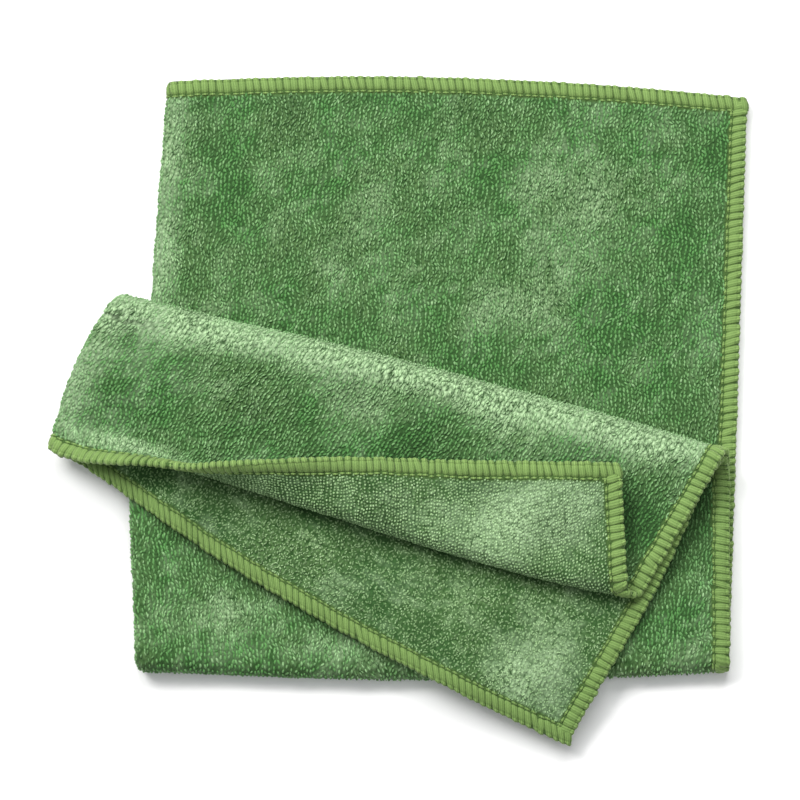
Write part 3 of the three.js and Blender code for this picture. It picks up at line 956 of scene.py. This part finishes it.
def seen_from_above(tree, roots, outwards):
    """Which loops are in the open: nothing lies close over them."""
    open_sky = np.zeros(len(roots), bool)
    for index, (root, out) in enumerate(zip(roots, outwards)):
        if out[2] < MOST_DOWNWARDS:
            continue
        out = Vector(out)
        upwards = (out + Vector((0, 0, 1))).normalized()
        hit = tree.ray_cast(Vector(root) + out * SKY_START * MM, upwards, SKY_REACH * MM)
        open_sky[index] = hit[0] is None or hit[3] > OPEN_SKY * MM
    return open_sky


def clear_of_layers(tree, starts, loops):
    """Which loops reach from their start to all their points without meeting a layer of the cloth."""
    clear = np.ones(len(starts), bool)
    for index, (start, points) in enumerate(zip(starts, loops)):
        start = Vector(start)
        ways = [Vector(point) - start for point in points]
        clear[index] = all(tree.ray_cast(start, way.normalized(), way.length)[0] is None for way in ways)
    return clear


def rib_spots(bed, random):
    """Where a bed's loops stand on the flat cloth, in wandering ribs, and how their ribs slant there."""
    ribs = np.arange(bed["across"][0] + bed["rib"] / 2, bed["across"][1], bed["rib"])
    steps = np.arange(bed["down"][0], bed["down"][1], bed["step"])
    across, down = (grid.ravel() for grid in np.meshgrid(ribs, steps, indexing="ij"))
    down = down + np.repeat(random.uniform(0, bed["step"], len(ribs)), len(steps))
    slant = rib_wander(across, down + 0.5) - rib_wander(across, down - 0.5)  # over one millimetre
    across = across + rib_wander(across, down) + random.normal(0, bed["scatter"], len(across))
    down += random.normal(0, bed["scatter"], len(down))
    from_spine = book_section(across)[0]
    hem = HEM_BAND - PILE_OVER_HEM
    inside = (down > hem) & (down < end_at(from_spine, across) - hem) & (np.abs(across) < PAGE_WIDTH - hem)
    return across[inside], down[inside], slant[inside]


def shaped_loops(bed, shape, frost, slant, random):
    """Every loop's points: across the cloth, along it towards the open hem, and out of the sheet's middle."""
    count = len(frost)
    size = random.uniform(*LOOP_SIZES, count)
    high = bed["high"] * random.uniform(*LOOP_HEIGHTS, count) * lerp(*HEIGHT_BY_FROST, frost)
    wide = bed["wide"] * size * lerp(*WIDTH_BY_FROST, frost)
    turn = TURN_WITH_RIB * np.arctan(slant) + random.normal(0, bed["turn"], count)
    lean = bed["lean"] * lerp(*LEAN_BY_FROST, frost) + random.normal(0, LEAN_SCATTER, count)
    side_lean = random.normal(0, SIDE_LEAN_SCATTER, count)
    wide, long, high, turn, lean, side_lean = (
        values[:, None] for values in (wide, bed["long"] * size, high, turn, lean, side_lean))
    x, y, z = shape[:, 0] * wide, shape[:, 1] * long, shape[:, 2] * high
    turned_x = x * np.cos(turn) - y * np.sin(turn)
    turned_y = x * np.sin(turn) + y * np.cos(turn)
    return turned_x + side_lean * z, turned_y - lean * z, z + GROUND_THICKNESS / 2 - LOOP_SUNK


def make_pile(bed, loop, tree):
    random = np.random.default_rng(SEED + len(bed["name"]))
    across, down, slant = rib_spots(bed, random)
    root = (sheet_at(across, down) - BOX_CENTRE) * MM
    width, length, out = sheet_axes(across, down)
    out = out * bed["face"]
    seen = seen_from_above(tree, root, out)
    across, down, slant, root, width, length, out = (
        values[seen] for values in (across, down, slant, root, width, length, out))

    count = len(across)
    frost = lerp(*bed["frost"], brushed(across, down))
    shape = vertex_places(loop.data)
    x, y, z = shaped_loops(bed, shape, frost, slant, random)
    reach = x[..., None] * width[:, None] + y[..., None] * length[:, None] + z[..., None] * out[:, None]
    places = root[:, None] + reach * MM
    # Painted shade: each loop darkens towards its root, and each loop has a random tone of its own
    tip = np.clip(shape[None, :, 2], 0, 1) * random.uniform(*LOOP_TIPS, count)[:, None]
    # The painted sheen and shade on each loop, a little uneven from loop to loop
    painted_light = np.clip(painted_light_at(across, down) + random.normal(0, PAINTED_LIGHT_SCATTER, count), -1, 1)

    above_ground = root + out * (GROUND_THICKNESS / 2 + CLEAR_START) * MM
    clear = clear_of_layers(tree, above_ground, places[:, shape[:, 2] > CLEAR_SHARE])
    places, tip, frost, painted_light = places[clear], tip[clear], frost[clear], painted_light[clear]
    piece = copied(bed["name"], loop, places, tip)
    if bed["face"] < 0:
        piece.data.flip_normals()
    note_values(piece.data, "frost", np.repeat(frost, len(shape)))
    note_values(piece.data, "painted_light", np.repeat(painted_light, len(shape)))
    print(bed["name"], len(places), "of", count, "loops")
    return finish_piece(piece, OUTER_PILE if bed["face"] > 0 else INNER_PILE)


# ---------- overlocked hem
# One stitch: x along the hem in stitch lengths, y in from the edge and z out of the sheet in millimetres
STITCH_BEADS = (
    dict(place=(0, 2.6, 0), size=(1.16, 3.8, 2.45), cuts=2, roundness=0.85),  # the pad of thread
    dict(place=(0, 0.55, 0), size=(0.85, 1.5, 2.0), cuts=1, roundness=1.0),  # its turn round the edge
    dict(place=(0, 5.2, 0.8), size=(0.6, 0.6, 0.7), cuts=1, roundness=1.0),  # the needle's thread, outside
    dict(place=(0, 5.2, -0.8), size=(0.6, 0.6, 0.7), cuts=1, roundness=1.0),  # and inside
)
STITCH_STRANDS = 3  # strands side by side in one stitch
STITCH_MIDDLE = 2.5  # how far in from the edge a slanting stitch keeps its place
STITCH_SHADE_EDGE = 0.6  # where a stitch's painted shade is darkest, in stitch lengths from the middle

# Each run of stitches: the page whose side it is on (0 where it crosses both pages), the stitch length in
# millimetres, and how far the stitches slant on the front page and on the back page
HEMS = (
    dict(name="overlock_open_hem", page=0, pitch=2.6, front_slant=0.2, back_slant=0.2),
    dict(name="overlock_end_hem", page=0, pitch=2.4, front_slant=0.1, back_slant=0.65),
    dict(name="overlock_back_side", page=-1, pitch=2.5, front_slant=0.35, back_slant=0.35),
    dict(name="overlock_front_side", page=1, pitch=2.6, front_slant=0.3, back_slant=0.3),
)
END_CLEARANCE = 0.8  # from the cloth's corners to the first and the last stitch
SIDE_CLEARANCE = 3.0  # the same for the side hems
BACK_PAGE_PAINTED_SHADE = 0.6  # how light the thread is along the back page: painted shade on its hems

# How single stitches differ: in place along the hem and across it, in slant, length and height, and in how
# light their thread is
PITCH_SCATTER = 0.08
EDGE_SCATTER = 0.12
SLANT_SCATTER = 0.07
STITCH_LENGTHS = (0.9, 1.1)
STITCH_HEIGHTS = (0.92, 1.1)
STITCH_LIGHTS = (0.75, 1.0)


def add_bead(place, size, cuts, roundness):
    """A puffed pad of thread: a cube, divided and rounded."""
    bpy.ops.mesh.primitive_cube_add(size=1, location=(0, 0, 0))
    bead = bpy.context.object
    edit_all()
    bpy.ops.mesh.subdivide(number_cuts=cuts)
    bpy.ops.transform.tosphere(value=roundness)
    bpy.ops.transform.resize(value=size)
    bpy.ops.transform.translate(value=place)
    bpy.ops.object.mode_set(mode="OBJECT")
    return bead


def model_stitch():
    deselect_all()
    beads = [add_bead(**bead) for bead in STITCH_BEADS]
    select_only(beads[0])
    for bead in beads:
        bead.select_set(True)
    bpy.ops.object.join()
    return bpy.context.object


def hem_ends(hem):
    """Where a run of stitches starts and stops along its hem."""
    if hem["page"] == 0:
        return END_CLEARANCE - PAGE_WIDTH, PAGE_WIDTH - END_CLEARANCE
    return SIDE_CLEARANCE, end_at(PAGE_WIDTH, hem["page"]) - SIDE_CLEARANCE


def hem_place(hem, along, inward):
    """Where a place on a hem lies on the flat cloth, as across and down."""
    if hem["page"] != 0:
        return hem["page"] * (PAGE_WIDTH - inward), along
    if hem["name"] == "overlock_open_hem":
        return along, inward
    return along, end_at(book_section(along)[0], along) - inward


def make_hem(hem, stitch):
    random = np.random.default_rng(SEED + len(hem["name"]))
    start, end = hem_ends(hem)
    count = round((end - start) / hem["pitch"])
    centre = np.linspace(start, end, count) + random.normal(0, PITCH_SCATTER, count)
    shape = vertex_places(stitch.data)
    x = shape[:, 0] * hem["pitch"] * random.uniform(*STITCH_LENGTHS, count)[:, None]
    y = shape[:, 1] + random.normal(0, EDGE_SCATTER, count)[:, None]
    slant = np.where(centre > 0, hem["front_slant"], hem["back_slant"])
    slant = slant + random.normal(0, SLANT_SCATTER, count)
    x = x + slant[:, None] * (y - STITCH_MIDDLE)
    z = shape[:, 2] * random.uniform(*STITCH_HEIGHTS, count)[:, None]
    across, down = hem_place(hem, (centre[:, None] + x).ravel(), y.ravel())
    flat = np.column_stack([across, -down, z.ravel()])
    places = laid(flat).reshape(count, len(shape), 3)
    places[..., 2] = np.maximum(places[..., 2], 0)  # pressed flat where it touches the table
    on_back_page = (centre < 0) if hem["page"] == 0 else np.full(count, hem["page"] < 0)
    # Painted shade on the back page's hems, times a random tone for each stitch
    light = random.uniform(*STITCH_LIGHTS, count) * np.where(on_back_page, BACK_PAGE_PAINTED_SHADE, 1)
    # Painted shade towards each stitch's sides, where the stitches meet
    tip = np.clip(1 - np.abs(shape[:, 0]) / STITCH_SHADE_EDGE, 0, 1) * light[:, None]
    piece = copied(hem["name"], stitch, places, tip)
    note_values(piece.data, "strand", np.tile(shape[:, 0] * STITCH_STRANDS, count))
    note_flat_places(piece.data, flat)
    select_only(piece)
    edit_all()
    bpy.ops.mesh.normals_make_consistent(inside=False)
    bpy.ops.object.mode_set(mode="OBJECT")
    print(hem["name"], count, "stitches")
    return finish_piece(piece, OVERLOCK_THREAD)


# ---------- making the cloth
cloth = make_sheet()
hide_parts("cloth")
sheet_tree = BVHTree.FromObject(cloth, bpy.context.evaluated_depsgraph_get())

loop = model_loop()
beds = [make_pile(bed, loop, sheet_tree) for bed in PILE_BEDS]
stitch = model_stitch()
hems = [make_hem(hem, stitch) for hem in HEMS]
for pattern in (loop, stitch):
    bpy.data.objects.remove(pattern)

# ---------- table, light and camera
TABLE_SIZE = 6
TABLE_DROP = 0.4 * MM  # keeps the table just under the stitches that are pressed flat
TABLE_GLOW = 0.04  # keeps the shadows from going black
deselect_all()
bpy.ops.mesh.primitive_plane_add(size=TABLE_SIZE, location=(0, 0, -TABLE_DROP))
table = bpy.context.object
table.name = "table"
white, _, white_shader = new_material("white_table", roughness=0.6, shine=0.2)
white_shader.inputs["Base Color"].default_value = (0.93, 0.93, 0.94, 1)
white_shader.inputs["Emission Color"].default_value = (1, 1, 1, 1)
white_shader.inputs["Emission Strength"].default_value = TABLE_GLOW
table.data.materials.append(white)

# Places and sizes in metres
LIGHTS = (
    dict(name="window_light", place=(-1.45, 1.25, 2.7), size=1.2, watts=79, colour=(1.0, 0.99, 0.97)),
    dict(name="back_light", place=(0.1, 1.8, 2.4), size=1.4, watts=56, colour=(1.0, 1.0, 0.98)),
    dict(name="overhead_light", place=(0.5, -0.4, 3.2), size=2.4, watts=30, colour=(0.97, 0.98, 1.0)),
)
ROOM_LIGHT = 0.2


def add_light(name, place, size, watts, colour):
    """A square light that faces the middle of the cloth."""
    bpy.ops.object.light_add(type="AREA", location=place)
    light = bpy.context.object
    light.name = name
    light.rotation_euler = (-Vector(place)).to_track_quat("-Z", "Y").to_euler()
    light.data.size = size
    light.data.energy = watts
    light.data.color = colour


for light in LIGHTS:
    add_light(**light)

world = bpy.data.worlds.new("studio")
bpy.context.scene.world = world
world.use_nodes = True
world.node_tree.nodes["Background"].inputs["Color"].default_value = (1, 1, 1, 1)
world.node_tree.nodes["Background"].inputs["Strength"].default_value = ROOM_LIGHT
bpy.context.scene.view_settings.view_transform = "Standard"

CAMERA_TILT = math.radians(9)
CAMERA_DISTANCE = 1.5
CAMERA_LENS = 196.1
AIM = Vector((-BOX_CENTRE[0] * MM, -BOX_CENTRE[1] * MM, 0.008))
towards_camera = Vector((0, -math.sin(CAMERA_TILT), math.cos(CAMERA_TILT)))
bpy.ops.object.camera_add(location=AIM + towards_camera * CAMERA_DISTANCE, rotation=(CAMERA_TILT, 0, 0))
camera = bpy.context.object
camera.data.sensor_width = 36
camera.data.lens = CAMERA_LENS
bpy.context.scene.camera = camera
